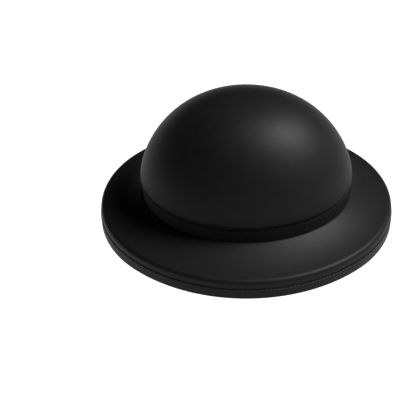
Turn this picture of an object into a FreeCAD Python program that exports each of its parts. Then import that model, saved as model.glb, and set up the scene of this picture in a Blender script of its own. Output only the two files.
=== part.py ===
"""Bowler hat: a blocked felt crown stitched to a blocked felt brim, with its trimmings and its inside.

Units are millimetres. +Z is up, the wearer looks along -Y, and the wearer's left is +X.
The origin is on the surface that the hat stands on, under the middle of the brim.
Crown-side pieces follow ellipses around the head; brim-side pieces follow an oval of four tangent arcs.
"""
import FreeCAD, Part
import math
import os

V = FreeCAD.Vector
Z_AXIS = V(0, 0, 1)
OUT = "parts"

# Head: the inner face of the sweatband, 56 cm round.
HEAD_HALF_LENGTH = 99.2
HEAD_HALF_WIDTH = 80.0

# Cloth, leather and felt thicknesses.
FELT = 2.7
COLLAR = 1.9
LEATHER = 1.1
TAPE = 0.35
RIBBON = 0.7
BINDING = 0.6
SATIN = 0.4
CLEAR_SHEET = 0.3

# Clearances between layers that are not sewn face to face.
TAPE_GAP = 0.05
COLLAR_GAP = 0.1
LINING_GAP = 0.3
SHIELD_GAP = 0.2
WIRE_GAP = 0.02
EDGE_GAP = 0.15
THREAD_GAP = 0.03
PIPING_GAP = 0.2

# Brim.
BRIM_WIDTH = 44.6
BRIM_END_ROUND = 1.05
RIM_TOP = 21.6
RIM_ROUND = 4.8
RIM_SLOPE = 6.0
LANDING_MARGIN = 0.6
COLLAR_HEIGHT = 11.0

# Crown.
HEAD_LINE = 33.5
CROWN_TOP = 142.0
WALL_OVER_BAND = 0.5
BULGE = 1.6
BULGE_RISE = 5.0
DOME_ROUND = 1.6
DOME_SHOULDER = 2.38
DOME_STATIONS = 9
FITTING_POINTS = 181

# Edge wire, its joiner and the binding.
WIRE_RADIUS = 0.8
JOINER_WALL = 0.33
JOINER_LENGTH = 22.0
BINDING_HEIGHT = 12.0
BINDING_CORNER = 1.3

# Hat band and bow.
BAND_HEIGHT = 14.0
BOW_TRIM = 0.8
TAIL_HALF = 33.0
LOOP_HALF = 26.0
LOOP_HOLLOW = 0.5
KNOT_HALF = 5.5

# Sweatband.
SWEATBAND_SHARE = 0.3134
REED_RADIUS = 0.9
TAPE_LEG = 5.0
SEAM_TAPE_HALF = 6.0
SWEAT_BOW_HALF = 13.0
SWEAT_BOW_HEIGHT = 7.0
SWEAT_BOW_UP = 12.0
SWEAT_KNOT_HALF = 2.2
LABEL_HALF = 9.0
LABEL_HEIGHT = 11.0
LABEL_UP = 12.0

# Lining.
LINING_TUCK = 9.0
LINING_SEAM_SHARE = 0.708
PIPING_RADIUS = 1.1
SHIELD_RIM_SHARE = 0.775

# Stitches.
THREAD_RADIUS = 0.22
STITCH_MARGIN = 1.5
BINDING_STITCH = 3.0
BINDING_STITCHES = 150
SWEAT_STITCH = 2.6
SWEAT_STITCHES = 110
HEADLINE_THREAD = 0.17
HEADLINE_STITCH = 3.0
HEADLINE_STITCHES = 60
TACK = 1.8
TACKS = 10

# Offsets outward from the head ellipse, from the inside to the outside.
AT_TAPE = LEATHER
AT_COLLAR = AT_TAPE + TAPE + TAPE_GAP
AT_CROWN_INSIDE = AT_COLLAR + COLLAR + COLLAR_GAP
AT_CROWN_FOOT = AT_CROWN_INSIDE + FELT
AT_BAND = AT_CROWN_FOOT + RIBBON
FOOT_HALF_LENGTH = HEAD_HALF_LENGTH + AT_CROWN_FOOT
FOOT_HALF_WIDTH = HEAD_HALF_WIDTH + AT_CROWN_FOOT
BRIM_HALF_LENGTH = FOOT_HALF_LENGTH + BRIM_WIDTH
BRIM_HALF_WIDTH = FOOT_HALF_WIDTH + BRIM_WIDTH

# Heights that follow from those above.
BRIM_UNDER = HEAD_LINE - FELT
BAND_FOOT = HEAD_LINE + EDGE_GAP
WALL_TOP = BAND_FOOT + BAND_HEIGHT + WALL_OVER_BAND
BULGE_AT = WALL_TOP + BULGE_RISE
DOME_RISE = CROWN_TOP - BULGE_AT
LINING_SEAM = BULGE_AT + LINING_SEAM_SHARE * DOME_RISE
SHIELD_RIM = BULGE_AT + SHIELD_RIM_SHARE * DOME_RISE
LINING_INSET = FELT + LINING_GAP
REED_AT = BRIM_UNDER
REED_LINE = AT_TAPE - TAPE / 2 - REED_RADIUS
SWEATBAND_FOOT = REED_AT + REED_RADIUS + TAPE
SWEATBAND_HEIGHT = SWEATBAND_SHARE * (CROWN_TOP - HEAD_LINE)
JOINER_RADIUS = WIRE_RADIUS + WIRE_GAP + JOINER_WALL
WIRE_AT = BINDING + JOINER_RADIUS + WIRE_GAP
LIP_FOOT = WIRE_AT + WIRE_RADIUS + WIRE_GAP
LIP_OUTSIDE = -BINDING
LIP_MIDDLE = LIP_OUTSIDE - FELT / 2


# ---------------------------------------------------------------- ellipses around the head

def ellipse_wire(offset, z, half_length=HEAD_HALF_LENGTH, half_width=HEAD_HALF_WIDTH):
    """Closed ellipse, long along Y, that lies offset outside the given one."""
    long_end = V(0, half_length + offset, z)
    short_end = V(half_width + offset, 0, z)
    return Part.Wire([Part.Ellipse(long_end, short_end, V(0, 0, z)).toShape()])


def ellipse_ring(inner, outer, low, high):
    """Upright band between two offsets of the head ellipse."""
    rise = V(0, 0, high - low)
    outside = Part.Face(ellipse_wire(outer, low)).extrude(rise)
    inside = Part.Face(ellipse_wire(inner, low)).extrude(rise)
    return outside.cut(inside)


def ellipse_rod(offset, z, radius):
    """Rod of round section bent along the head ellipse."""
    path = ellipse_wire(offset, z)
    edge = path.Edges[0]
    at = edge.valueAt(edge.FirstParameter)
    along = edge.tangentAt(edge.FirstParameter)
    section = Part.Wire([Part.Circle(at, along, radius).toShape()])
    return path.makePipeShell([section], True, True)


def ellipse_places(count, offset):
    """Evenly spaced points on an offset of the head ellipse, each with its outward direction."""
    long_half, short_half = HEAD_HALF_LENGTH + offset, HEAD_HALF_WIDTH + offset
    edge = ellipse_wire(offset, 0).Edges[0]
    places = []
    for point in edge.discretize(Number=2 * count + 1)[1::2]:
        outward = V(point.x / short_half ** 2, point.y / long_half ** 2, 0).normalize()
        places.append((point, outward))
    return places


# ---------------------------------------------------------------- four-arc oval of the brim

def brim_arcs():
    """The brim oval's arcs: each has a centre, a radius, a start angle and a span in degrees."""
    excess = BRIM_HALF_LENGTH - BRIM_HALF_WIDTH
    end_radius = BRIM_WIDTH + BRIM_END_ROUND * FOOT_HALF_WIDTH ** 2 / FOOT_HALF_LENGTH
    end_shift = BRIM_HALF_LENGTH - end_radius
    side_shift = excess * (2 * end_shift - excess) / (2 * (end_shift - excess))
    side_radius = BRIM_HALF_WIDTH + side_shift
    join = math.degrees(math.atan2(end_shift, side_shift))
    return [
        (V(-side_shift, 0, 0), side_radius, -join, 2 * join),
        (V(0, end_shift, 0), end_radius, join, 180 - 2 * join),
        (V(side_shift, 0, 0), side_radius, 180 - join, 2 * join),
        (V(0, -end_shift, 0), end_radius, 180 + join, 180 - 2 * join),
    ]


def brim_sweep(section):
    """Carries a section face, drawn in XZ with X outward from the brim oval, once round the oval."""
    pieces = []
    for centre, radius, start, span in brim_arcs():
        face = section.copy()
        face.translate(V(radius, 0, 0))
        face.rotate(V(0, 0, 0), Z_AXIS, start)
        face.translate(centre)
        pieces.append(face.revolve(centre, Z_AXIS, span))
    return pieces[0].fuse(pieces[1:]).removeSplitter()


def brim_places(count, offset):
    """Evenly spaced points on an offset of the brim oval, each with its outward direction."""
    arcs = brim_arcs()
    lengths = [math.radians(span) * (radius + offset) for _, radius, _, span in arcs]
    places = []
    for number in range(count):
        along = (number + 0.5) * sum(lengths) / count
        for (centre, radius, start, span), length in zip(arcs, lengths):
            if along <= length:
                break
            along -= length
        angle = math.radians(start + span * along / length)
        outward = V(math.cos(angle), math.sin(angle), 0)
        places.append((centre + outward * (radius + offset), outward))
    return places


def inward_to_head(offset):
    """Least and greatest distance inward from the brim oval to the head ellipse at that offset."""
    oval = Part.Wire([Part.makeCircle(radius, centre, Z_AXIS, start, start + span)
                      for centre, radius, start, span in brim_arcs()])
    points = ellipse_wire(offset, 0).discretize(Number=FITTING_POINTS)
    distances = [oval.distToShape(Part.Vertex(point))[0] for point in points]
    return min(distances), max(distances)


def section_face(edges):
    return Part.Face(Part.Wire(edges))


def line(a, b):
    return Part.LineSegment(V(a[0], 0, a[1]), V(b[0], 0, b[1])).toShape()


def arc(centre, radius, start, end):
    """Arc in XZ about centre, from one angle to another, in degrees from +X towards +Z."""
    def at(angle):
        turn = math.radians(angle)
        return V(centre[0] + radius * math.cos(turn), 0, centre[1] + radius * math.sin(turn))
    return Part.Arc(at(start), at((start + end) / 2), at(end)).toShape()


def ends(edge):
    """First and last point of an edge, as (outward, up) pairs."""
    first, last = edge.valueAt(edge.FirstParameter), edge.valueAt(edge.LastParameter)
    return (first.x, first.z), (last.x, last.z)


# ---------------------------------------------------------------- domes of the crown and the lining

def dome(inset):
    """Solid dome that lies inset inside the crown's outer face and stands on the head line."""
    foot_half = FOOT_HALF_LENGTH - inset
    wide_half = foot_half + BULGE
    top = CROWN_TOP - inset
    shape_points = [V(0, foot_half, WALL_TOP), V(0, foot_half + BULGE / 2, WALL_TOP + BULGE_RISE / 2)]
    for station in range(DOME_STATIONS + 1):
        share = math.sin(math.radians(90.0 * station / DOME_STATIONS))
        half = wide_half * max(0.0, 1 - share ** DOME_ROUND) ** (1 / DOME_SHOULDER)
        shape_points.append(V(0, half, BULGE_AT + (top - BULGE_AT) * share))
    side = Part.BSplineCurve()
    side.interpolate(Points=shape_points, InitialTangent=V(0, 0, 1), FinalTangent=V(0, -1, 0))
    base_middle, base_edge = V(0, 0, HEAD_LINE), V(0, foot_half, HEAD_LINE)
    profile = Part.Wire([
        Part.LineSegment(base_middle, base_edge).toShape(),
        Part.LineSegment(base_edge, shape_points[0]).toShape(),
        side.toShape(),
        Part.LineSegment(shape_points[-1], base_middle).toShape(),
    ])
    turned = Part.Face(profile).revolve(V(0, 0, 0), Z_AXIS, 360)
    narrow = FreeCAD.Matrix()
    narrow.scale(V((FOOT_HALF_WIDTH - inset) / foot_half, 1, 1))
    return turned.transformGeometry(narrow)


def dome_shell(inset, thickness, low, high):
    """Part of a dome's wall between two heights."""
    reach = 2 * BRIM_HALF_LENGTH
    slab = Part.makeBox(reach, reach, high - low, V(-reach / 2, -reach / 2, low))
    return dome(inset).cut(dome(inset + thickness)).common(slab)


def dome_half_sizes(inset, z):
    """How far a dome's face is from the middle at the height z, along Y and along X."""
    cut = dome(inset).slice(Z_AXIS, z)[0].optimalBoundingBox()
    return cut.YLength / 2, cut.XLength / 2


# ---------------------------------------------------------------- small shared shapes

def stitch(point, outward, z, lift, length, radius=THREAD_RADIUS, upright=False):
    """Short round thread that lies on a wall: along it, or upright."""
    run = Z_AXIS if upright else Z_AXIS.cross(outward)
    middle = V(point.x, point.y, z) + outward * lift
    return Part.makeCylinder(radius, length, middle - run * (length / 2), run)


def side_patch(inner, outer, half, low, high):
    """Patch of an upright band on the wearer's left, that reaches half each way along Y."""
    corner = V(HEAD_HALF_WIDTH / 2, -half, low)
    box = Part.makeBox(HEAD_HALF_WIDTH, 2 * half, high - low, corner)
    return ellipse_ring(inner, outer, low, high).common(box)


def rear_patch(inner, outer, half, low, high, shift=0.0):
    """Patch of an upright band at the back of the head, that reaches half each way along X."""
    corner = V(shift - half, HEAD_HALF_LENGTH / 2, low)
    box = Part.makeBox(2 * half, HEAD_HALF_LENGTH, high - low, corner)
    return ellipse_ring(inner, outer, low, high).common(box)


# ---------------------------------------------------------------- the hat's pieces

def crown_shell():
    return dome_shell(0, FELT, HEAD_LINE, CROWN_TOP)


def brim_section():
    """Felt section: landing under the crown, hollow flange, rounded rim and turned-down lip."""
    slope = math.radians(RIM_SLOPE)
    rim_centre = (LIP_OUTSIDE - RIM_ROUND, RIM_TOP - RIM_ROUND)
    flange_end = (rim_centre[0] + RIM_ROUND * math.sin(slope), rim_centre[1] + RIM_ROUND * math.cos(slope))
    landing_end = LANDING_MARGIN - inward_to_head(AT_CROWN_FOOT)[0]
    run, rise = flange_end[0] - landing_end, HEAD_LINE - flange_end[1]
    steep = 2 * math.atan2(rise, run) - slope
    hollow = run / (math.sin(steep) - math.sin(slope))
    hollow_centre = (flange_end[0] + hollow * math.sin(slope), flange_end[1] + hollow * math.cos(slope))
    under = hollow + FELT
    under_steep = math.acos((hollow_centre[1] - BRIM_UNDER) / under)
    inner_end = -LANDING_MARGIN - inward_to_head(AT_COLLAR)[1]

    lip_up = line((LIP_OUTSIDE, LIP_FOOT), (LIP_OUTSIDE, rim_centre[1]))
    rim = arc(rim_centre, RIM_ROUND, 0, 90 - RIM_SLOPE)
    flange = arc(hollow_centre, hollow, 270 - RIM_SLOPE, 270 - math.degrees(steep))
    landing = line(ends(flange)[1], (inner_end, HEAD_LINE))
    edge = line((inner_end, HEAD_LINE), (inner_end, BRIM_UNDER))
    flange_under = arc(hollow_centre, under, 270 - math.degrees(under_steep), 270 - RIM_SLOPE)
    landing_under = line((inner_end, BRIM_UNDER), ends(flange_under)[0])
    rim_under = arc(rim_centre, RIM_ROUND - FELT, 90 - RIM_SLOPE, 0)
    lip_down = line(ends(rim_under)[1], (LIP_OUTSIDE - FELT, LIP_FOOT))
    foot = line((LIP_OUTSIDE - FELT, LIP_FOOT), (LIP_OUTSIDE, LIP_FOOT))
    return section_face([lip_up, rim, flange, landing, edge, landing_under, flange_under,
                         rim_under, lip_down, foot])


def brim():
    """Flange with an elliptical opening, whose edge is turned up into the collar that holds the crown."""
    flange = brim_sweep(brim_section())
    opening = Part.Face(ellipse_wire(AT_COLLAR, 0)).extrude(V(0, 0, CROWN_TOP))
    collar = ellipse_ring(AT_COLLAR, AT_COLLAR + COLLAR, BRIM_UNDER, HEAD_LINE + COLLAR_HEIGHT)
    joiner_seat = rear_rod(JOINER_RADIUS + WIRE_GAP, JOINER_LENGTH + 2 * WIRE_GAP)
    return flange.cut(opening).fuse(collar).removeSplitter().cut(joiner_seat)


def edge_wire():
    return brim_sweep(section_face([Part.Circle(V(LIP_MIDDLE, 0, WIRE_AT), V(0, 1, 0), WIRE_RADIUS).toShape()]))


def rear_rod(radius, length):
    """Rod of round section that follows the edge wire across the back of the brim."""
    centre, end_radius = brim_arcs()[1][:2]
    bend = end_radius + LIP_MIDDLE
    span = math.degrees(length / bend)
    section = section_face([Part.Circle(V(bend, 0, WIRE_AT), V(0, 1, 0), radius).toShape()])
    section.rotate(V(0, 0, 0), Z_AXIS, 90 - span / 2)
    section.translate(centre)
    return section.revolve(centre, Z_AXIS, span)


def wire_joiner():
    """Crimped sleeve over the wire's ends, at the back."""
    sleeve = rear_rod(JOINER_RADIUS, JOINER_LENGTH)
    return sleeve.cut(rear_rod(WIRE_RADIUS + WIRE_GAP, 2 * JOINER_LENGTH))


def brim_binding():
    """Ribbon folded over the lip's edge, with a flat fold that the hat stands on."""
    outside, inside = 0.0, -2 * BINDING - FELT
    round_out = BINDING_CORNER
    round_in = BINDING_CORNER - BINDING
    left, right = (inside + round_out, round_out), (outside - round_out, round_out)
    shape = [
        line((left[0], 0), (right[0], 0)),
        arc(right, round_out, -90, 0),
        line((outside, round_out), (outside, BINDING_HEIGHT)),
        line((outside, BINDING_HEIGHT), (outside - BINDING, BINDING_HEIGHT)),
        line((outside - BINDING, BINDING_HEIGHT), (outside - BINDING, round_out)),
        arc(right, round_in, 0, -90),
        line((right[0], BINDING), (left[0], BINDING)),
        arc(left, round_in, 270, 180),
        line((inside + BINDING, round_out), (inside + BINDING, BINDING_HEIGHT)),
        line((inside + BINDING, BINDING_HEIGHT), (inside, BINDING_HEIGHT)),
        line((inside, BINDING_HEIGHT), (inside, round_out)),
        arc(left, round_out, 180, 270),
    ]
    return brim_sweep(section_face(shape))


def binding_stitches():
    """One row outside the lip and one inside, close under the binding's upper edges."""
    height = BINDING_HEIGHT - STITCH_MARGIN
    rows = []
    lift_off = THREAD_RADIUS + THREAD_GAP
    for face, lift in ((0.0, lift_off), (-2 * BINDING - FELT, -lift_off)):
        for point, outward in brim_places(BINDING_STITCHES, face):
            rows.append(stitch(point, outward, height, lift, BINDING_STITCH))
    return Part.makeCompound(rows)


def hat_band():
    return ellipse_ring(AT_CROWN_FOOT, AT_BAND, BAND_FOOT, BAND_FOOT + BAND_HEIGHT)


def bow_tails():
    """Flat ribbon ends that lie on the band under the bow."""
    return side_patch(AT_BAND, AT_BAND + RIBBON, TAIL_HALF, BAND_FOOT + BOW_TRIM,
                      BAND_FOOT + BAND_HEIGHT - BOW_TRIM)


def bow_loops():
    """Ribbon folded into two flat loops, one each side of the knot."""
    low, high = BAND_FOOT + BOW_TRIM, BAND_FOOT + BAND_HEIGHT - BOW_TRIM
    back = AT_BAND + RIBBON
    front = back + 2 * RIBBON + LOOP_HOLLOW
    loops = side_patch(back, front, LOOP_HALF, low, high)
    hollow = side_patch(back + RIBBON, front - RIBBON, LOOP_HALF - RIBBON, low - 1, high + 1)
    waist = side_patch(back, front, KNOT_HALF - RIBBON, low - 1, high + 1)
    return loops.cut(hollow.cut(waist))


def bow_knot():
    """Short ribbon wrapped round the middle of the loops and tails."""
    low, high = BAND_FOOT + BOW_TRIM, BAND_FOOT + BAND_HEIGHT - BOW_TRIM
    front = AT_BAND + 3 * RIBBON + LOOP_HOLLOW
    outside = side_patch(AT_BAND, front + RIBBON, KNOT_HALF, low - RIBBON, high + RIBBON)
    inside = side_patch(AT_CROWN_FOOT, front, 2 * KNOT_HALF, low, high)
    return outside.cut(inside)


def band_tacks():
    """Upright tacking stitches that hold the band's upper edge to the felt."""
    height = BAND_FOOT + BAND_HEIGHT - TACK
    lift = THREAD_RADIUS + THREAD_GAP
    return Part.makeCompound([stitch(point, outward, height, lift, TACK, upright=True)
                              for point, outward in ellipse_places(TACKS, AT_BAND)
                              if not (point.x > 0 and abs(point.y) < TAIL_HALF + TACK)])


def sweatband():
    return ellipse_ring(0, LEATHER, SWEATBAND_FOOT, SWEATBAND_FOOT + SWEATBAND_HEIGHT)


def sweatband_reed():
    return ellipse_rod(REED_LINE, REED_AT, REED_RADIUS)


def reed_tape():
    """Tape folded round the reed, with a leg sewn to the back of the leather."""
    tube = ellipse_rod(REED_LINE, REED_AT, REED_RADIUS + TAPE).cut(sweatband_reed())
    leg = ellipse_ring(AT_TAPE, AT_TAPE + TAPE, REED_AT, SWEATBAND_FOOT + TAPE_LEG)
    return tube.fuse(leg)


def sweatband_stitches():
    """Row that sews the tape to the leather, seen on the inner face."""
    height = SWEATBAND_FOOT + TAPE_LEG / 2
    lift = -THREAD_RADIUS - THREAD_GAP
    return Part.makeCompound([stitch(point, outward, height, lift, SWEAT_STITCH)
                              for point, outward in ellipse_places(SWEAT_STITCHES, 0)])


def headline_stitches():
    """Row inside the collar that sews the crown to the brim, hidden behind the leather."""
    middle = (LEATHER + AT_COLLAR) / 2
    height = HEAD_LINE + COLLAR_HEIGHT - STITCH_MARGIN
    return Part.makeCompound([stitch(point, outward, height, 0, HEADLINE_STITCH, HEADLINE_THREAD)
                              for point, outward in ellipse_places(HEADLINE_STITCHES, middle)])


def back_seam_tape():
    """Strip behind the leather that joins its two ends at the back of the head."""
    low = HEAD_LINE + COLLAR_HEIGHT + STITCH_MARGIN
    return rear_patch(AT_TAPE, AT_TAPE + TAPE, SEAM_TAPE_HALF, low, SWEATBAND_FOOT + SWEATBAND_HEIGHT - STITCH_MARGIN)


def sweatband_bow():
    """Small flat bow on the back seam, which marks the back of the hat."""
    low = SWEATBAND_FOOT + SWEAT_BOW_UP
    high = low + SWEAT_BOW_HEIGHT
    loops = rear_patch(-2 * BINDING - LOOP_HOLLOW, 0, SWEAT_BOW_HALF, low, high)
    for side in (-1, 1):
        reach = (SWEAT_BOW_HALF - SWEAT_KNOT_HALF - BINDING) / 2
        hollow = rear_patch(-BINDING - LOOP_HOLLOW, -BINDING, reach, low - 1, high + 1,
                            side * (SWEAT_KNOT_HALF + reach))
        loops = loops.cut(hollow)
    return loops


def sweatband_bow_knot():
    low = SWEATBAND_FOOT + SWEAT_BOW_UP
    high = low + SWEAT_BOW_HEIGHT
    front = -2 * BINDING - LOOP_HOLLOW
    outside = rear_patch(front - BINDING, 0, SWEAT_KNOT_HALF, low - BINDING, high + BINDING)
    inside = rear_patch(front, 1, SWEAT_KNOT_HALF + 1, low, high)
    return outside.cut(inside)


def size_label():
    """Blank label on the leather beside the back bow."""
    low = SWEATBAND_FOOT + LABEL_UP
    return rear_patch(-CLEAR_SHEET, 0, LABEL_HALF, low, low + LABEL_HEIGHT, SWEAT_BOW_HALF + 2 * LABEL_HALF)


def lining_side():
    foot = SWEATBAND_FOOT + SWEATBAND_HEIGHT - LINING_TUCK
    return dome_shell(LINING_INSET, SATIN, foot, LINING_SEAM)


def lining_tip():
    return dome_shell(LINING_INSET, SATIN, LINING_SEAM, CROWN_TOP)


def lining_piping():
    """Covered cord that lies against the lining, under the seam between its side and its tip."""
    inside = LINING_INSET + SATIN
    half_length, half_width = dome_half_sizes(inside, LINING_SEAM)
    lean = math.atan(half_length - dome_half_sizes(inside, LINING_SEAM + 1)[0])
    away = PIPING_RADIUS + PIPING_GAP
    long_bend, short_bend = half_length - away * math.cos(lean), half_width - away * math.cos(lean)
    ring = Part.makeTorus(long_bend, PIPING_RADIUS, V(0, 0, LINING_SEAM - away * math.sin(lean)), Z_AXIS)
    narrow = FreeCAD.Matrix()
    narrow.scale(V(short_bend / long_bend, 1, 1))
    return ring.transformGeometry(narrow)


def tip_shield():
    """Clear sheet sewn over the lining's tip."""
    return dome_shell(LINING_INSET + SATIN + SHIELD_GAP, CLEAR_SHEET, SHIELD_RIM, CROWN_TOP)


PIECES = [
    crown_shell, brim, edge_wire, wire_joiner, brim_binding, binding_stitches,
    hat_band, bow_tails, bow_loops, bow_knot, band_tacks,
    headline_stitches, sweatband, sweatband_reed, reed_tape, sweatband_stitches, back_seam_tape,
    sweatband_bow, sweatband_bow_knot, size_label,
    lining_side, lining_tip, lining_piping, tip_shield,
]


def main():
    os.makedirs(OUT, exist_ok=True)
    for make in PIECES:
        shape = make()
        shape.exportStep(os.path.join(OUT, make.__name__ + ".step"))
        box = shape.optimalBoundingBox()
        print(f"{make.__name__:20s} solids {len(shape.Solids):4d}  valid {shape.isValid()}"
              f"  volume {shape.Volume:10.1f}  z {box.ZMin:7.2f} to {box.ZMax:7.2f}"
              f"  x {box.XLength:6.1f}  y {box.YLength:6.1f}")


main()
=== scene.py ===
"""Bowler hat: the looks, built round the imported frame.

Metres, +Z up. The wearer faces -Y and the bow is on the wearer's left, at +X.
"""

import math

import bmesh
import bpy
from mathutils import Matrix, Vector, noise


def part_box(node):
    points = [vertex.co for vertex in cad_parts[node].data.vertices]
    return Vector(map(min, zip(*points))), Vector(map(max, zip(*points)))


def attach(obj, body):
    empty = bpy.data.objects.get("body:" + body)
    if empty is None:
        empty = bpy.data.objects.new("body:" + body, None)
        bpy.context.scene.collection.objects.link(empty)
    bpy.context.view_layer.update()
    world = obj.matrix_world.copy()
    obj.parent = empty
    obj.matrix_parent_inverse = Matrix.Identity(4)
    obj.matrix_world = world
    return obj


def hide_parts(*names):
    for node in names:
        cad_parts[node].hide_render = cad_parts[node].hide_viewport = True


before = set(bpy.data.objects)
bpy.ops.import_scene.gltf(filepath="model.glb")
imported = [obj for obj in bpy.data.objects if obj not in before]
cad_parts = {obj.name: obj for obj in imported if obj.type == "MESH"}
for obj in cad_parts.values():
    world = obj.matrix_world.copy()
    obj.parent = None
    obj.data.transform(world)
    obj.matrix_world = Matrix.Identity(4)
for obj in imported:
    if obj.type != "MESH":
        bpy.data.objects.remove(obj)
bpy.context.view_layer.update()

MM = 0.001

# Layers of the head side, as offsets outward from the head's oval.
LEATHER = 1.1 * MM
COLLAR_INSIDE = 1.5 * MM
COLLAR_OUTSIDE = 3.4 * MM
RIBBON = 0.7 * MM
FELT = 2.7 * MM
BINDING = 0.6 * MM

# Sizes read from the frame.
LEATHER_LOW, LEATHER_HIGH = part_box("sweatband")
HEAD_LENGTH = LEATHER_HIGH.y - LEATHER
HEAD_WIDTH = LEATHER_HIGH.x - LEATHER
BAND_LOW, BAND_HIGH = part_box("hat_band")
BAND_OUTSIDE = BAND_HIGH.y - HEAD_LENGTH
CROWN_FOOT = BAND_OUTSIDE - RIBBON
CROWN_LOW, CROWN_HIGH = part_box("crown_shell")
HEAD_LINE = CROWN_LOW.z
CROWN_TOP = CROWN_HIGH.z
BULGE = CROWN_HIGH.y - HEAD_LENGTH - CROWN_FOOT
_, BIND_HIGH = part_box("brim_binding")
BRIM_LENGTH = BIND_HIGH.y
BRIM_WIDTH = BIND_HIGH.x
BRIM_LOW, BRIM_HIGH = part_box("brim")

# Shape of the crown and the brim.
WALL_TOP = HEAD_LINE + 14.5 * MM
BULGE_AT = WALL_TOP + 5.0 * MM
DOME_ROUND = 1.6
DOME_SHOULDER = 2.38
BRIM_END_ROUND = 1.05
RIM_TOP = 21.6 * MM
RIM_ROUND = 4.8 * MM
RIM_SLOPE = math.radians(6.0)
LANDING = 1.5 * MM

# How far the lining lies inside the felt's outer face, and the thickness of sheets and bow ribbons.
LINING_INSET = FELT + 0.7 * MM
SHEET = 0.25 * MM
BOW_RIBBON = 0.45 * MM

# Sewing thread.
THREAD_RADIUS = 0.2 * MM
STITCH_LENGTH = 2.4 * MM

# Stations round the hat, and rings between a dome's bulge and its top.
AROUND = 288
DOME_RINGS = 72

UP = Vector((0, 0, 1))


# ---------------------------------------------------------------- ovals

def head_angles():
    """Angles of evenly spaced stations on the head's oval, starting at the wearer's left."""
    fine = 4096
    step = 2 * math.pi / fine
    lengths = [0.0]
    for k in range(fine):
        angle = (k + 0.5) * step
        speed = math.hypot(HEAD_WIDTH * math.sin(angle), HEAD_LENGTH * math.cos(angle))
        lengths.append(lengths[-1] + step * speed)
    angles, k = [], 0
    for number in range(AROUND):
        want = lengths[-1] * number / AROUND
        while lengths[k + 1] < want:
            k += 1
        angles.append(step * (k + (want - lengths[k]) / (lengths[k + 1] - lengths[k])))
    return angles


def finer(angles, parts):
    """The same stations, with each gap between them cut into equal parts."""
    fine = []
    for number, angle in enumerate(angles):
        gap = (angles[(number + 1) % len(angles)] - angle) % (2 * math.pi)
        fine += [angle + part / parts * gap for part in range(parts)]
    return fine


HEAD_ANGLES = head_angles()
HEAD_ANGLES_FINE = finer(HEAD_ANGLES, 4)


def head_point(angle, offset, z):
    return Vector(((HEAD_WIDTH + offset) * math.cos(angle), (HEAD_LENGTH + offset) * math.sin(angle), z))


def head_outward(angle):
    return Vector((math.cos(angle) / HEAD_WIDTH, math.sin(angle) / HEAD_LENGTH, 0)).normalized()


def brim_arcs():
    """The brim oval's four arcs: centre, radius, start angle, span."""
    foot_length, foot_width = HEAD_LENGTH + CROWN_FOOT, HEAD_WIDTH + CROWN_FOOT
    excess = BRIM_LENGTH - BRIM_WIDTH
    end = BRIM_LENGTH - foot_length + BRIM_END_ROUND * foot_width ** 2 / foot_length
    end_shift = BRIM_LENGTH - end
    side_shift = excess * (2 * end_shift - excess) / (2 * (end_shift - excess))
    side = BRIM_WIDTH + side_shift
    join = math.atan2(end_shift, side_shift)
    return [
        (Vector((-side_shift, 0, 0)), side, -join, 2 * join),
        (Vector((0, end_shift, 0)), end, join, math.pi - 2 * join),
        (Vector((side_shift, 0, 0)), side, math.pi - join, 2 * join),
        (Vector((0, -end_shift, 0)), end, math.pi + join, math.pi - 2 * join),
    ]


def brim_stations(count, offset=0.0):
    """Evenly spaced points on the brim's oval at that offset, each with its outward direction."""
    arcs = brim_arcs()
    lengths = [span * (radius + offset) for _, radius, _, span in arcs]
    places = []
    for number in range(count):
        along = sum(lengths) * number / count
        for (centre, radius, start, span), length in zip(arcs, lengths):
            if along < length:
                break
            along -= length
        angle = start + span * along / length
        outward = Vector((math.cos(angle), math.sin(angle), 0))
        places.append((centre + outward * (radius + offset), outward))
    return places


def inward_to_head(point, outward, offset):
    """How far inward from a point on the brim's oval the head's oval at that offset is."""
    wide, long = HEAD_WIDTH + offset, HEAD_LENGTH + offset
    a = (outward.x / wide) ** 2 + (outward.y / long) ** 2
    b = -2 * (point.x * outward.x / wide ** 2 + point.y * outward.y / long ** 2)
    c = (point.x / wide) ** 2 + (point.y / long) ** 2 - 1
    return (-b - math.sqrt(b * b - 4 * a * c)) / (2 * a)


# ---------------------------------------------------------------- meshes

def add_mesh(name, verts, faces, uvs=None):
    """Mesh object with smooth faces; uvs are in millimetres, one pair for each face corner."""
    mesh = bpy.data.meshes.new(name)
    mesh.from_pydata([tuple(v) for v in verts], [], faces)
    if uvs:
        layer = mesh.uv_layers.new(name="length_height")
        for corner, uv in zip(layer.data, uvs):
            corner.uv = uv
    mesh.polygons.foreach_set("use_smooth", [True] * len(mesh.polygons))
    mesh.update()
    obj = bpy.data.objects.new(name, mesh)
    bpy.context.scene.collection.objects.link(obj)
    return obj


def grid(name, columns, close_round=True, close_section=True, tip=None):
    """Quads between columns of points. tip closes the last row with one point."""
    rows, count = len(columns[0]), len(columns)
    verts = [p for column in columns for p in column]
    along = [0.0]
    middle = rows // 2
    for k in range(count):
        step = (columns[(k + 1) % count][middle] - columns[k][middle]).length
        along.append(along[-1] + step / MM)
    up = [0.0]
    for r in range(rows):
        step = (columns[0][(r + 1) % rows] - columns[0][r]).length
        up.append(up[-1] + step / MM)
    faces, uvs = [], []
    for k in range(count if close_round else count - 1):
        k2 = (k + 1) % count
        for r in range(rows if close_section else rows - 1):
            r2 = (r + 1) % rows
            faces.append((k * rows + r, k2 * rows + r, k2 * rows + r2, k * rows + r2))
            uvs += [(along[k], up[r]), (along[k + 1], up[r]),
                    (along[k + 1], up[r + 1]), (along[k], up[r + 1])]
    if tip is not None:
        verts.append(tip)
        for k in range(count):
            faces.append((k * rows + rows - 1, (k + 1) % count * rows + rows - 1, len(verts) - 1))
            uvs += [(along[k], up[rows - 1])] * 3
    return add_mesh(name, verts, faces, uvs)


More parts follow.
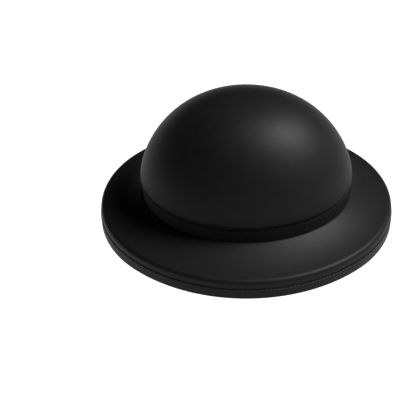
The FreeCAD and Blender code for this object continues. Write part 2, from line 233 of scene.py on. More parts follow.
def head_sweep(name, section, shape=None):
    """Closed section of (offset, z) pairs carried round the head; shape(angle, offset, z) alters a point."""
    columns = []
    for angle in HEAD_ANGLES:
        points = [shape(angle, d, z) if shape else (d, z) for d, z in section]
        columns.append([head_point(angle, d, z) for d, z in points])
    return grid(name, columns)


def strap(inner, outer, low, high, steps=6, edge=4):
    """Section of a strap with rounded edges: up the outside, round, and down the inside."""
    radius = (outer - inner) / 2
    middle = (outer + inner) / 2
    heights = [low + radius + (high - low - 2 * radius) * k / steps for k in range(steps + 1)]
    turns = [math.pi * k / edge for k in range(1, edge)]
    top = [(middle + radius * math.cos(t), high - radius + radius * math.sin(t)) for t in turns]
    bottom = [(middle - radius * math.cos(t), low + radius - radius * math.sin(t)) for t in turns]
    return [(outer, z) for z in heights] + top + [(inner, z) for z in reversed(heights)] + bottom


def arc(centre, radius, start, end, steps):
    return [(centre[0] + radius * math.cos(start + (end - start) * k / steps),
             centre[1] + radius * math.sin(start + (end - start) * k / steps)) for k in range(steps + 1)]


def segment(a, b, steps):
    """Points from a to b, without either end."""
    return [(a[0] + (b[0] - a[0]) * k / steps, a[1] + (b[1] - a[1]) * k / steps) for k in range(1, steps)]


def stitches(name, places, radius):
    """Threads along a wall: each place has a middle, a direction, an outward direction and a length."""
    sides = 8
    rings = [(-0.5, 0.35), (-0.42, 0.8), (-0.2, 1.0), (0.2, 1.0), (0.42, 0.8), (0.5, 0.35)]
    verts, faces = [], []
    for middle, run, outward, length in places:
        across = run.cross(outward)
        base = len(verts)
        for share, swell in rings:
            sink = (abs(share) / 0.5) ** 4 * radius * 0.9
            for s in range(sides):
                turn = 2 * math.pi * s / sides
                verts.append(middle + run * (share * length) - outward * sink
                             + (across * math.cos(turn) + outward * math.sin(turn)) * radius * swell)
        for ring in range(len(rings) - 1):
            for s in range(sides):
                a, b = base + ring * sides + s, base + ring * sides + (s + 1) % sides
                faces.append((a, b, b + sides, a + sides))
        faces.append(tuple(base + s for s in range(sides)))
        faces.append(tuple(base + (len(rings) - 1) * sides + s for s in reversed(range(sides))))
    return add_mesh(name, verts, faces)


# ---------------------------------------------------------------- materials

def shader(name, color, rough, **constants):
    """Material with one Principled shader, and the node tools that its pattern needs."""
    mat = bpy.data.materials.new(name)
    mat.use_nodes = True
    tree = mat.node_tree
    bsdf = tree.nodes["Principled BSDF"]
    bsdf.inputs["Base Color"].default_value = (*color, 1)
    bsdf.inputs["Roughness"].default_value = rough
    for key, value in constants.items():
        bsdf.inputs[key.replace("_", " ")].default_value = value
    return mat, tree, bsdf


def node(tree, kind, inputs=None, **settings):
    made = tree.nodes.new(kind)
    for key, value in settings.items():
        setattr(made, key, value)
    for key, value in (inputs or {}).items():
        if isinstance(value, bpy.types.NodeSocket):
            tree.links.new(value, made.inputs[key])
        else:
            made.inputs[key].default_value = value
    return made


def place(tree, uv=False):
    """Coordinates in millimetres: the object's own, or along and up a ribbon."""
    source = node(tree, "ShaderNodeTexCoord")
    if uv:
        return source.outputs["UV"]
    scaled = node(tree, "ShaderNodeVectorMath", {0: source.outputs["Object"], "Scale": 1 / MM},
                  operation="SCALE")
    return scaled.outputs[0]


def speckle(tree, at, size, detail=3.0, rough=0.6):
    """Noise whose grain is about size millimetres."""
    made = node(tree, "ShaderNodeTexNoise",
                {"Vector": at, "Scale": 1 / size, "Detail": detail, "Roughness": rough})
    return made.outputs["Fac"]


def ribs(tree, at, pitch, axis="X"):
    """Ribs across a ribbon, one every pitch millimetres."""
    made = node(tree, "ShaderNodeTexWave", {"Vector": at, "Scale": math.pi / 10 / pitch},
                wave_type="BANDS", bands_direction=axis, wave_profile="SIN")
    return made.outputs["Fac"]


def ramp(tree, value, low, high, low_at=0.0, high_at=1.0):
    """Colour from low to high as value goes from low_at to high_at."""
    made = node(tree, "ShaderNodeValToRGB", {"Fac": value})
    made.color_ramp.elements[0].position = low_at
    made.color_ramp.elements[0].color = (*low, 1)
    made.color_ramp.elements[1].position = high_at
    made.color_ramp.elements[1].color = (*high, 1)
    return made.outputs["Color"]


def spread(tree, value, low, high):
    made = node(tree, "ShaderNodeMapRange", {"Value": value, "To Min": low, "To Max": high})
    return made.outputs["Result"]


def bump(tree, bsdf, layers):
    """Stacks (height, millimetres) layers onto the shader's normal."""
    below = None
    for height, depth in layers:
        inputs = {"Height": height, "Strength": 1.0, "Distance": depth * MM}
        if below is not None:
            inputs["Normal"] = below
        below = node(tree, "ShaderNodeBump", inputs).outputs["Normal"]
    tree.links.new(below, bsdf.inputs["Normal"])


def felt():
    """Stiffened black fur felt: fine fibres, a slight mottle, and a soft brushed sheen."""
    mat, tree, bsdf = shader("black_felt", (0.0035, 0.0035, 0.0038), 0.55, Specular_IOR_Level=0.13,
                             Sheen_Weight=0.004, Sheen_Roughness=0.45)
    at = place(tree)
    mottle = speckle(tree, at, 9.0)
    fibre = speckle(tree, at, 0.55, 4.0, 0.7)
    tree.links.new(ramp(tree, mottle, (0.0028, 0.0028, 0.003), (0.0042, 0.0042, 0.0046), 0.3, 0.7),
                   bsdf.inputs["Base Color"])
    tree.links.new(spread(tree, speckle(tree, at, 2.2), 0.5, 0.6), bsdf.inputs["Roughness"])
    bump(tree, bsdf, [(mottle, 0.05), (fibre, 0.035)])
    return mat


def grosgrain(name="black_grosgrain", color=(0.0035, 0.0035, 0.0038), pitch=0.55):
    """Ribbon with ribs across its length."""
    mat, tree, bsdf = shader(name, color, 0.48, Specular_IOR_Level=0.1,
                             Sheen_Weight=0.004, Sheen_Roughness=0.4)
    at = place(tree, uv=True)
    rib = ribs(tree, at, pitch)
    thread = ribs(tree, at, pitch / 2, "Y")
    worn = speckle(tree, at, 6.0)
    tree.links.new(ramp(tree, worn, tuple(c * 0.8 for c in color), tuple(c * 1.3 for c in color), 0.3, 0.7),
                   bsdf.inputs["Base Color"])
    tree.links.new(spread(tree, rib, 0.58, 0.42), bsdf.inputs["Roughness"])
    bump(tree, bsdf, [(rib, 0.12), (thread, 0.02)])
    return mat


def thread():
    mat, tree, bsdf = shader("black_thread", (0.014, 0.014, 0.015), 0.45, Specular_IOR_Level=0.4)
    twist = speckle(tree, place(tree), 0.15, 1.0)
    tree.links.new(ramp(tree, twist, (0.008, 0.008, 0.009), (0.024, 0.024, 0.026), 0.3, 0.7),
                   bsdf.inputs["Base Color"])
    bump(tree, bsdf, [(twist, 0.05)])
    return mat


def leather():
    """Smooth brown leather with fine pores and creases, darker where it is handled."""
    mat, tree, bsdf = shader("brown_leather", (0.16, 0.08, 0.04), 0.45, Specular_IOR_Level=0.45)
    at = place(tree)
    cloud = speckle(tree, at, 14.0, 4.0)
    pores = node(tree, "ShaderNodeTexVoronoi", {"Vector": at, "Scale": 1 / 0.7},
                 feature="DISTANCE_TO_EDGE").outputs["Distance"]
    tree.links.new(ramp(tree, cloud, (0.105, 0.05, 0.024), (0.2, 0.104, 0.052), 0.3, 0.7),
                   bsdf.inputs["Base Color"])
    tree.links.new(spread(tree, speckle(tree, at, 3.0), 0.38, 0.55), bsdf.inputs["Roughness"])
    bump(tree, bsdf, [(cloud, 0.12), (pores, 0.05)])
    return mat


def weave(name, color, pitch, rough=0.75, sheen=0.1):
    """Plain woven cloth, on the object's own coordinates."""
    mat, tree, bsdf = shader(name, color, rough, Specular_IOR_Level=0.3,
                             Sheen_Weight=sheen, Sheen_Roughness=0.5)
    at = place(tree)
    across, along = ribs(tree, at, pitch, "X"), ribs(tree, at, pitch, "Y")
    up = ribs(tree, at, pitch, "Z")
    woven = node(tree, "ShaderNodeMath", {0: across, 1: along}, operation="MAXIMUM").outputs[0]
    woven = node(tree, "ShaderNodeMath", {0: woven, 1: up}, operation="MULTIPLY").outputs[0]
    tree.links.new(ramp(tree, woven, tuple(c * 0.7 for c in color), tuple(min(1, c * 1.2) for c in color)),
                   bsdf.inputs["Base Color"])
    bump(tree, bsdf, [(woven, 0.08)])
    return mat


def satin(name, color, rough=0.3):
    """Satin: fine lengthwise threads, a smooth shine and faint creases."""
    mat, tree, bsdf = shader(name, color, rough, Specular_IOR_Level=0.6, Anisotropic=0.4,
                             Sheen_Weight=0.25, Sheen_Roughness=0.3)
    at = place(tree, uv=True)
    threads = ribs(tree, at, 0.22)
    crease = speckle(tree, at, 11.0, 2.0)
    dark, light = tuple(c * 0.86 for c in color), tuple(min(1, c * 1.1) for c in color)
    tree.links.new(ramp(tree, crease, dark, light, 0.3, 0.7), bsdf.inputs["Base Color"])
    tree.links.new(spread(tree, threads, rough - 0.04, rough + 0.08), bsdf.inputs["Roughness"])
    bump(tree, bsdf, [(crease, 0.5), (threads, 0.012)])
    return mat


def clear_sheet():
    mat, tree, bsdf = shader("clear_sheet", (0.96, 0.97, 0.97), 0.06, IOR=1.46, Transmission_Weight=1.0)
    wave = speckle(tree, place(tree), 16.0, 1.0)
    tree.links.new(spread(tree, speckle(tree, place(tree), 5.0), 0.04, 0.12), bsdf.inputs["Roughness"])
    bump(tree, bsdf, [(wave, 0.25)])
    return mat


def paper():
    mat, tree, bsdf = shader("cream_paper", (0.72, 0.66, 0.52), 0.7)
    fibres = speckle(tree, place(tree), 0.4)
    tree.links.new(ramp(tree, fibres, (0.64, 0.58, 0.45), (0.76, 0.71, 0.57), 0.3, 0.7),
                   bsdf.inputs["Base Color"])
    bump(tree, bsdf, [(fibres, 0.03)])
    return mat


def metal(name, color, rough):
    mat, tree, bsdf = shader(name, color, rough, Metallic=1.0)
    drawn = speckle(tree, place(tree), 0.5)
    tree.links.new(ramp(tree, drawn, tuple(c * 0.75 for c in color), color, 0.3, 0.7),
                   bsdf.inputs["Base Color"])
    tree.links.new(spread(tree, drawn, rough, rough + 0.15), bsdf.inputs["Roughness"])
    bump(tree, bsdf, [(drawn, 0.01)])
    return mat


def cane():
    mat, tree, bsdf = shader("reed", (0.6, 0.55, 0.42), 0.5)
    streak = speckle(tree, place(tree), 1.5)
    tree.links.new(ramp(tree, streak, (0.5, 0.45, 0.33), (0.66, 0.61, 0.48), 0.3, 0.7),
                   bsdf.inputs["Base Color"])
    bump(tree, bsdf, [(streak, 0.03)])
    return mat


def wear(obj, mat, slot_name, *nodes):
    """Gives a made piece its material and its body, and hides the CAD nodes that it stands for. slot_name is
    not used.
    """
    obj.data.materials.append(mat)
    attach(obj, "root")
    if nodes:
        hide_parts(*nodes)
    return obj


def repaint(node_name, mat):
    """Gives a CAD node that stays its material."""
    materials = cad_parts[node_name].data.materials
    materials.clear()
    materials.append(mat)


# ---------------------------------------------------------------- crown

def dome_half(z, inset):
    """Half length and half width of the crown's face at a height, moved inward by inset."""
    long_foot = HEAD_LENGTH + CROWN_FOOT - inset
    wide_foot = HEAD_WIDTH + CROWN_FOOT - inset
    top = CROWN_TOP - inset
    if z <= WALL_TOP:
        half = long_foot
    elif z <= BULGE_AT:
        share = (z - WALL_TOP) / (BULGE_AT - WALL_TOP)
        half = long_foot + BULGE * share * share * (3 - 2 * share)
    else:
        share = min(1.0, (z - BULGE_AT) / (top - BULGE_AT))
        half = (long_foot + BULGE) * (1 - share ** DOME_ROUND) ** (1 / DOME_SHOULDER)
    return half, half * wide_foot / long_foot


def dome_ring_heights(low, top, steps):
    """Heights that crowd towards the top, so that rings stay evenly spread over the dome."""
    return [low + (top - low) * math.sin(math.pi / 2 * k / steps) for k in range(steps + 1)]


def dome_point(angle, z, inset):
    half_length, half_width = dome_half(z, inset)
    return Vector((half_width * math.cos(angle), half_length * math.sin(angle), z))


def crown():
    """Felt shell: outer face from the foot to the top, and inner face back down."""
    outer = [HEAD_LINE + (WALL_TOP - HEAD_LINE) * k / 6 for k in range(7)]
    outer += [WALL_TOP + (BULGE_AT - WALL_TOP) * k / 8 for k in range(1, 8)]
    outer += dome_ring_heights(BULGE_AT, CROWN_TOP, DOME_RINGS)[:-1]
    inner = [HEAD_LINE + (BULGE_AT - HEAD_LINE) * k / 6 for k in range(6)]
    inner += dome_ring_heights(BULGE_AT, CROWN_TOP - FELT, 40)[:-1]
    columns = []
    for angle in HEAD_ANGLES:
        column = [dome_point(angle, z, FELT) for z in reversed(inner)]
        column += [dome_point(angle, z, 0) for z in outer]
        columns.append(column)
    shell = grid("felt_crown", columns, close_section=False, tip=Vector((0, 0, CROWN_TOP)))
    return close_inner_tip(shell, len(columns[0]), Vector((0, 0, CROWN_TOP - FELT)))


def close_inner_tip(obj, rows, tip):
    """Closes the first row of a grid with one point, under the outer tip."""
    work = bmesh.new()
    work.from_mesh(obj.data)
    work.verts.ensure_lookup_table()
    ring = [work.verts[k * rows] for k in range(AROUND)]
    top = work.verts.new(tip)
    for first, second in zip(ring, ring[1:] + ring[:1]):
        face = work.faces.new((second, first, top))
        face.smooth = True
    work.normal_update()
    work.to_mesh(obj.data)
    work.free()
    return obj


# ---------------------------------------------------------------- brim

def flange(top_side):
    """Flange from rim to landing, as (outward from the oval, z) pairs: the face, or the underside."""
    rim_x, rim_z = -BINDING - RIM_ROUND, RIM_TOP - RIM_ROUND
    end = (rim_x + RIM_ROUND * math.sin(RIM_SLOPE), rim_z + RIM_ROUND * math.cos(RIM_SLOPE))
    landing = HEAD_LENGTH + CROWN_FOOT + LANDING - BRIM_LENGTH
    run, rise = end[0] - landing, HEAD_LINE - end[1]
    steep = 2 * math.atan2(rise, run) - RIM_SLOPE
    hollow = run / (math.sin(steep) - math.sin(RIM_SLOPE))
    centre = (end[0] + hollow * math.sin(RIM_SLOPE), end[1] + hollow * math.cos(RIM_SLOPE))
    down = 1.5 * math.pi
    if top_side:
        return arc(centre, hollow, down - RIM_SLOPE, down - steep, 26)
    under = hollow + FELT
    steep = math.acos((centre[1] - (HEAD_LINE - FELT)) / under)
    return arc(centre, under, down - RIM_SLOPE, down - steep, 26)


def brim():
    """Felt brim: lip, rounded rim, hollow flange, and the collar inside the crown's foot."""
    rim = (-BINDING - RIM_ROUND, RIM_TOP - RIM_ROUND)
    lip_foot = BRIM_LOW.z
    # How far the cut edges are eased down and back at their corners.
    down, back = 0.3 * MM, 0.5 * MM
    quarter = math.pi / 2 - RIM_SLOPE
    outside = [(-BINDING, lip_foot + down)] + segment((-BINDING, lip_foot), (-BINDING, rim[1]), 4)
    outside += arc(rim, RIM_ROUND, 0, quarter, 12) + flange(True)[1:]
    inner_lip = -BINDING - FELT
    inside = [(inner_lip, lip_foot + down)] + segment((inner_lip, lip_foot), (inner_lip, rim[1]), 4)
    inside += arc(rim, RIM_ROUND - FELT, 0, quarter, 8) + flange(False)[1:]
    collar_top = BRIM_HIGH.z
    under = HEAD_LINE - FELT
    columns = []
    for point, outward in brim_stations(AROUND):
        far = inward_to_head(point, outward, COLLAR_OUTSIDE)
        deep = inward_to_head(point, outward, COLLAR_INSIDE)
        loop = [(d, z) for d, z in outside if -d < far]
        loop += segment(loop[-1], (-far, HEAD_LINE), 3)
        loop += [(-far, HEAD_LINE)] + segment((-far, HEAD_LINE), (-far, collar_top), 4)
        loop += [(-far, collar_top - down), (-far - back, collar_top)]
        loop += [(-deep + back, collar_top), (-deep, collar_top - down)]
        loop += segment((-deep, collar_top), (-deep, under), 5)
        loop += [(-deep, under + back), (-deep + 0.6 * MM, under)]
        under_face = [(d, z) for d, z in inside if -d < deep - 2 * MM]
        loop += segment(loop[-1], under_face[-1], 3) + under_face[::-1]
        columns.append([point + outward * d + Vector((0, 0, z)) for d, z in loop])
    assert len({len(column) for column in columns}) == 1, "the brim's columns differ in length"
    return grid("felt_brim", columns)


def binding():
    """Grosgrain folded over the lip: outside leg, flat fold that the hat stands on, inside leg."""
    high = BIND_HIGH.z
    out, back = 0.0, -2 * BINDING - FELT
    corner = 1.3 * MM
    edge = BINDING / 2
    outer = arc((out - edge, high - edge), edge, math.pi / 2, 0, 3) + segment((out, high), (out, corner), 8)
    outer += arc((out - corner, corner), corner, 0, -math.pi / 2, 5)
    outer += arc((back + corner, corner), corner, 1.5 * math.pi, math.pi, 5)
    outer += segment((back, corner), (back, high), 8)
    outer += arc((back + edge, high - edge), edge, math.pi, math.pi / 2, 3)
    inner = [(back + BINDING, high - edge)] + segment((back + BINDING, high), (back + BINDING, corner), 8)
    inner += arc((back + corner, corner), corner - BINDING, math.pi, 1.5 * math.pi, 4)
    inner += arc((out - corner, corner), corner - BINDING, -math.pi / 2, 0, 4)
    inner += segment((out - BINDING, corner), (out - BINDING, high), 8) + [(out - BINDING, high - edge)]
    section = outer + inner
    columns = [[point + outward * d + Vector((0, 0, z)) for d, z in section]
               for point, outward in brim_stations(2 * AROUND)]
    return grid("brim_ribbon", columns)


def brim_stitches():
    """Two rows close under the binding's upper edges, outside and inside."""
    height = BIND_HIGH.z - 1.5 * MM
    lift = 0.12 * MM
    count = 230
    places = []
    for face, side in ((0.0, 1), (-2 * BINDING - FELT, -1)):
        for point, outward in brim_stations(count, face):
            middle = point + outward * (side * lift) + Vector((0, 0, height))
            places.append((middle, UP.cross(outward), outward * side, STITCH_LENGTH))
    return stitches("brim_ribbon_stitches", places, THREAD_RADIUS)


# ---------------------------------------------------------------- hat band and bow

def band():
    """Grosgrain band with slightly raised selvedges."""
    section = strap(CROWN_FOOT + 0.02 * MM, BAND_OUTSIDE, BAND_LOW.z, BAND_HIGH.z, 14)

    def shape(angle, offset, z):
        edge = min(z - BAND_LOW.z, BAND_HIGH.z - z)
        selvedge = math.exp(-((edge - 0.9 * MM) / (0.5 * MM)) ** 2)
        if offset > CROWN_FOOT + RIBBON / 2:
            offset += 0.1 * MM * selvedge
        return offset, z

    return head_sweep("band_ribbon", section, shape)


def on_band(along, lift, z):
    """Point on the band at the wearer's left: along towards the back, lift outward from the band's face."""
    angle = along / (HEAD_LENGTH + BAND_OUTSIDE)
    return head_point(angle, BAND_OUTSIDE + lift, z)


def on_leather(along, lift, z):
    """Point on the leather at the back: along towards the wearer's left, lift inward from its face."""
    return head_point(math.pi / 2 - along / HEAD_WIDTH, -lift, z)


BOW_LOW, BOW_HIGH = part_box("bow_loops")
TAIL_LOW, TAIL_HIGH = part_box("bow_tails")
KNOT_LOW, KNOT_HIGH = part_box("bow_knot")


def thicken(obj, thickness):
    """Gives a single face its thickness, half on each side."""
    solid = obj.modifiers.new("thickness", "SOLIDIFY")
    solid.thickness = thickness
    solid.offset = 0.0
    return obj


def ribbon_strip(name, columns, thickness):
    """Strip with free edges all round."""
    return thicken(grid(name, columns, close_round=False, close_section=False), thickness)


def thick_sheet(name, columns, thickness, tip=None):
    """Sheet that runs all the way round: open at its foot, and closed at its top if it has a tip."""
    return thicken(grid(name, columns, close_section=False, tip=tip), thickness)


def bow_loop(name, side, on, reach, low, high, size=1.0, under=1.1 * MM):
    """One loop: out along the wall, round a soft fold, and back to the knot."""
    middle, half = (low + high) / 2, (high - low) / 2
    start, fold = 2.5 * MM * size, 1.1 * MM * size
    over = under + 2 * fold
    steps, turns, half_count = 14, 8, 8
    # Each point of the path: along the wall, lift from it, and how far out it is on its way to the fold.
    path = [(start + (reach - fold - start) * k / steps, under, k / steps) for k in range(steps + 1)]
    path += [(reach - fold + fold * math.sin(t), under + fold * (1 - math.cos(t)), 1.0)
             for t in [math.pi * k / turns for k in range(1, turns)]]
    path += [(reach - fold - (reach - fold - start) * k / steps, over, 1 - k / steps)
             for k in range(steps + 1)]
    columns = []
    for along, lift, out in path:
        pinch = 1 - 0.3 * (1 - min(1.0, out * 2.2)) ** 2
        puff = 0.7 * MM * size * math.sin(math.pi * out) if lift > under + fold else 0.0
        column = []
        for k in range(2 * half_count + 1):
            across = -1 + k / half_count
            pleat = 0.35 * MM * size * math.cos(3 * math.pi * across) * max(0.0, 1 - 2.4 * out)
            crown_of_fold = puff * (1 - across * across)
            column.append(on(side * along, lift + pleat + crown_of_fold, middle + across * half * pinch))
        columns.append(column if side > 0 else column[::-1])
    return ribbon_strip(name, columns, BOW_RIBBON * size)


def bow_tail():
    """Ribbon under the loops, cut on the slant at both ends."""
    reach = TAIL_HIGH.y
    middle = (TAIL_LOW.z + TAIL_HIGH.z) / 2
    half = (TAIL_HIGH.z - TAIL_LOW.z) / 2
    lift, curl, cut = 0.4 * MM, 0.12 * MM, 0.16
    columns = []
    for k in range(49):
        share = -1 + k / 24
        column = []
        for j in range(13):
            across = -1 + j / 6
            slant = 1.0 - cut * (across + 1) / 2
            height = middle + across * half
            column.append(on_band(share * reach * slant, lift + curl * abs(share) ** 3, height))
        columns.append(column)
    return ribbon_strip("bow_tail", columns, BOW_RIBBON)


def bow_knot(name, on, half, low, high, deep, size=1.0):
    """Ribbon wrapped over the middle of the loops, pleated along its length."""
    middle, tall = (low + high) / 2, (high - low) / 2 - 0.3 * MM * size
    rim, foot = 1.3 * MM * size, 0.2 * MM * size
    path = [(foot, -tall), (deep - rim, -tall)]
    path += [(deep - rim + rim * math.sin(t), -tall + rim * (1 - math.cos(t))) for t in
             [math.pi / 2 * k / 5 for k in range(1, 6)]]
    path += [(deep, -tall + rim + (2 * tall - 2 * rim) * k / 8) for k in range(1, 8)]
    path += [(deep - rim + rim * math.cos(t), tall - rim + rim * math.sin(t)) for t in
             [math.pi / 2 * k / 5 for k in range(6)]]
    path += [(foot, tall)]
    columns = []
    for lift, up in path:
        column = []
        for k in range(25):
            across = 1 - k / 12
            pleat = 0.18 * MM * size * math.cos(5 * math.pi * across) * (1 if lift > rim else 0.3)
            waist = 0.9 + 0.1 * (up / tall) ** 2
            bow_out = 0.5 * MM * size * (1 - across * across) if lift > deep - 0.1 * MM else 0.0
            column.append(on(across * half * waist, lift + pleat + bow_out, middle + up))
        columns.append(column)
    return ribbon_strip(name, columns, BOW_RIBBON * size)


# ---------------------------------------------------------------- inside

def sweatband():
    """Leather band: rounded edges and a gentle roll."""
    low, high = LEATHER_LOW.z, LEATHER_HIGH.z
    section = strap(0.0, LEATHER, low, high, 16)

    def shape(angle, offset, z):
        up = (z - low) / (high - low)
        roll = 0.35 * MM * noise.noise(Vector((3 * math.cos(angle), 3 * math.sin(angle), 2 * up)))
        wave = noise.noise(Vector((2 * math.cos(angle), 2 * math.sin(angle), 9)))
        return offset + roll * up, z + 0.25 * MM * up * wave

    return head_sweep("leather_band", section, shape)


def lining_side():
    """Satin side of the lining, gathered into the seam at the tip."""
    low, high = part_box("lining_side")
    folds, steps = 84, 40
    columns = []
    for angle in HEAD_ANGLES_FINE:
        drift = 2.2 * noise.noise(Vector((4 * math.cos(angle), 4 * math.sin(angle), 0)))
        fold = math.sin(folds * angle + drift)
        column = []
        for k in range(steps + 1):
            share = k / steps
            z = low.z + (high.z - low.z) * share
            depth = (0.1 + 0.75 * share ** 2) * MM
            column.append(dome_point(angle, z, LINING_INSET + depth * (0.5 + 0.5 * fold)))
        columns.append(column)
    return thick_sheet("satin_side", columns, SHEET)


def lining_tip():
    """Oval tip of the lining."""
    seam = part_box("lining_side")[1].z
    top = CROWN_TOP - LINING_INSET
    heights = dome_ring_heights(BULGE_AT, top, DOME_RINGS)
    heights = [seam] + [z for z in heights[:-1] if z > seam + 0.5 * MM]
    columns = [[dome_point(angle, z, LINING_INSET) for z in heights] for angle in HEAD_ANGLES]
    return thick_sheet("satin_tip", columns, SHEET, tip=Vector((0, 0, top)))


def piping():
    """Covered cord against the seam."""
    low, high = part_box("lining_piping")
    radius = (high.z - low.z) / 2
    middle = (low.z + high.z) / 2
    turns = [2 * math.pi * k / 12 for k in range(12)]
    columns = []
    for angle in HEAD_ANGLES:
        centre = Vector(((high.x - radius) * math.cos(angle), (high.y - radius) * math.sin(angle), middle))
        outward = Vector((math.cos(angle) / high.x, math.sin(angle) / high.y, 0)).normalized()
        columns.append([centre + outward * (radius * math.cos(t)) + Vector((0, 0, radius * math.sin(t)))
                        for t in turns])
    return grid("satin_piping", columns)


def shield():
    """Clear sheet over the tip."""
    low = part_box("tip_shield")[0].z
    inset = CROWN_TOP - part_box("tip_shield")[1].z + 0.15 * MM
    heights = [z for z in dome_ring_heights(BULGE_AT, CROWN_TOP - inset, DOME_RINGS)[:-1] if z > low]
    columns = [[dome_point(angle, z, inset) for z in [low] + heights] for angle in HEAD_ANGLES]
    return thick_sheet("clear_tip", columns, SHEET, tip=Vector((0, 0, CROWN_TOP - inset)))


SMALL_BOW_LOW, SMALL_BOW_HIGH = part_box("sweatband_bow")
SMALL_KNOT_LOW, SMALL_KNOT_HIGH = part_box("sweatband_bow_knot")
SMALL_BOW_SIZE = 0.45


def label():
    """Blank woven label with rounded corners, that follows the leather and lifts a little at its ends."""
    low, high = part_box("size_label")
    middle, half = Vector((low.x + high.x, 0, low.z + high.z)) / 2, (high - low) / 2
    corner = 1.2 * MM
    columns = []
    for k in range(33):
        share = -math.cos(math.pi * k / 32)
        along = share * half.x
        from_corner = max(0.0, abs(along) - (half.x - corner))
        tall = half.z - corner + math.sqrt(max(0.0, corner ** 2 - from_corner ** 2))
        lift = 0.16 * MM + 0.25 * MM * abs(share) ** 8
        heights = [middle.z + tall * (-1 + j / 6) for j in range(13)]
        columns.append([on_leather(middle.x + along, lift, z) for z in heights])
    return ribbon_strip("blank_label", columns, 0.22 * MM)


def leather_stitches():
    """One row near the leather's lower edge, sunk a little in its inner face."""
    low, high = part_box("sweatband_stitches")
    lift = 0.08 * MM
    count = 150
    places = []
    for k in range(count):
        angle = HEAD_ANGLES[k * AROUND // count]
        outward = head_outward(angle)
        middle = head_point(angle, -lift, (low.z + high.z) / 2)
        places.append((middle, UP.cross(outward), -outward, STITCH_LENGTH))
    return stitches("leather_stitches", places, THREAD_RADIUS)


# ---------------------------------------------------------------- stage

def stage():
    """Pale floor, soft key light from the front right, a fill for the floor, and a faint sky."""
    height, reach = -0.0004, 30.0
    corners = ((-1, -1), (1, -1), (1, 1), (-1, 1))
    floor = add_mesh("floor", [Vector((x * reach, y * reach, height)) for x, y in corners], [(0, 1, 2, 3)])
    pale = shader("pale_floor", (0.8, 0.8, 0.8), 0.9, Specular_IOR_Level=0.1)[0]
    floor.data.materials.append(pale)

    world = bpy.data.worlds.new("studio")
    bpy.context.scene.world = world
    world.use_nodes = True
    sky = world.node_tree.nodes["Background"].inputs
    sky["Color"].default_value = (1, 1, 1, 1)
    sky["Strength"].default_value = 0.01
    bpy.context.scene.view_settings.view_transform = "Standard"

    key = area_light("key", Vector((-0.03, -0.57, 0.82)) * 2.2, 0.9, 115.0)
    fill = area_light("floor_fill", Vector((0, 0, 6.0)), 3.0, 590.0)
    fill.data.use_shadow = False
    # The key lights all but the floor, and the fill lights only the floor.
    for lamp, state in ((key, "EXCLUDE"), (fill, "INCLUDE")):
        lit = bpy.data.collections.new("floor_under_" + lamp.name)
        lit.objects.link(floor)
        lit.collection_objects[0].light_linking.link_state = state
        lamp.light_linking.receiver_collection = lit


def area_light(name, at, size, energy):
    """Round soft light that looks at the hat."""
    light = bpy.data.lights.new(name, "AREA")
    light.shape = "DISK"
    light.size = size
    light.energy = energy
    lamp = bpy.data.objects.new(name, light)
    lamp.location = at
    lamp.rotation_euler = (Vector((0, 0, 0.05)) - at).to_track_quat("-Z", "Y").to_euler()
    bpy.context.scene.collection.objects.link(lamp)
    return lamp


def camera():
    """Camera on the wearer's right, looking down at the hat; it frames the hat as the photo does."""
    elevation = math.radians(38.5)
    distance = 1.222
    target = Vector((0, 0, 18.3 * MM))
    data = bpy.data.cameras.new("camera")
    data.lens = 101.4
    data.sensor_width = 36.0
    data.shift_x = -0.0864
    data.shift_y = -0.0256
    data.dof.use_dof = False
    cam = bpy.data.objects.new("camera", data)
    cam.location = target + Vector((-math.cos(elevation), 0, math.sin(elevation))) * distance
    cam.rotation_euler = (target - cam.location).to_track_quat("-Z", "Y").to_euler()
    bpy.context.scene.collection.objects.link(cam)
    bpy.context.scene.camera = cam


# ---------------------------------------------------------------- the hat

FELT_LOOK = felt()
RIBBON_LOOK = grosgrain()
THREAD_LOOK = thread()
LEATHER_LOOK = leather()
TAPE_LOOK = weave("black_tape", (0.03, 0.03, 0.032), 0.6)
LINING_LOOK = satin("grey_satin", (0.36, 0.345, 0.32))
PIPING_LOOK = satin("dark_satin", (0.05, 0.05, 0.055))
BOW_LOOK = grosgrain("black_satin_ribbon", (0.02, 0.02, 0.022), 0.35)

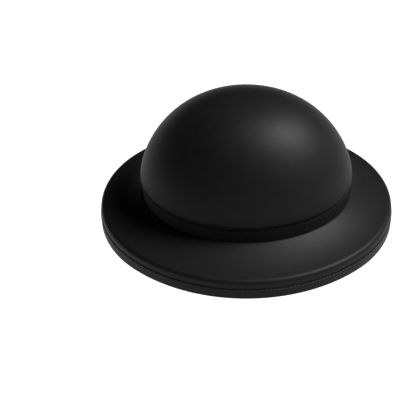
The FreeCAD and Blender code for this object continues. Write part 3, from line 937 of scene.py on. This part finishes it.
wear(crown(), FELT_LOOK, "felt", "crown_shell")
wear(brim(), FELT_LOOK, "felt", "brim")
wear(binding(), RIBBON_LOOK, "ribbon", "brim_binding")
wear(brim_stitches(), THREAD_LOOK, "thread", "binding_stitches")
wear(band(), RIBBON_LOOK, "ribbon", "hat_band")
for end, side in (("back", 1), ("front", -1)):
    wear(bow_loop("bow_loop_" + end, side, on_band, BOW_HIGH.y, BOW_LOW.z, BOW_HIGH.z),
         RIBBON_LOOK, "ribbon", "bow_loops")
wear(bow_tail(), RIBBON_LOOK, "ribbon", "bow_tails")
wear(bow_knot("bow_knot_ribbon", on_band, KNOT_HIGH.y, KNOT_LOW.z, KNOT_HIGH.z, 4.1 * MM),
     RIBBON_LOOK, "ribbon", "bow_knot")
wear(sweatband(), LEATHER_LOOK, "leather", "sweatband")
wear(leather_stitches(), THREAD_LOOK, "thread", "sweatband_stitches")
for end, side in (("left", 1), ("right", -1)):
    wear(bow_loop("small_bow_" + end, side, on_leather, SMALL_BOW_HIGH.x, SMALL_BOW_LOW.z, SMALL_BOW_HIGH.z,
                  SMALL_BOW_SIZE, 0.35 * MM), BOW_LOOK, "satin_ribbon", "sweatband_bow")
wear(bow_knot("small_bow_knot", on_leather, SMALL_KNOT_HIGH.x, SMALL_KNOT_LOW.z, SMALL_KNOT_HIGH.z, 1.9 * MM,
              SMALL_BOW_SIZE), BOW_LOOK, "satin_ribbon", "sweatband_bow_knot")
wear(label(), paper(), "label", "size_label")

# The two cuts of the lining, in metres: a strip, and an oval.
side_cloth = wear(lining_side(), LINING_LOOK, "lining", "lining_side")
tip_cloth = wear(lining_tip(), LINING_LOOK, "lining", "lining_tip")
cord_cloth = wear(piping(), PIPING_LOOK, "piping", "lining_piping")
wear(shield(), clear_sheet(), "clear_sheet", "tip_shield")

repaint("reed_tape", TAPE_LOOK)
repaint("back_seam_tape", TAPE_LOOK)
repaint("band_tacks", THREAD_LOOK)
repaint("headline_stitches", THREAD_LOOK)
repaint("edge_wire", metal("steel_wire", (0.45, 0.45, 0.46), 0.35))
repaint("wire_joiner", metal("brass_sleeve", (0.7, 0.52, 0.26), 0.3))
repaint("sweatband_reed", cane())

stage()
camera()
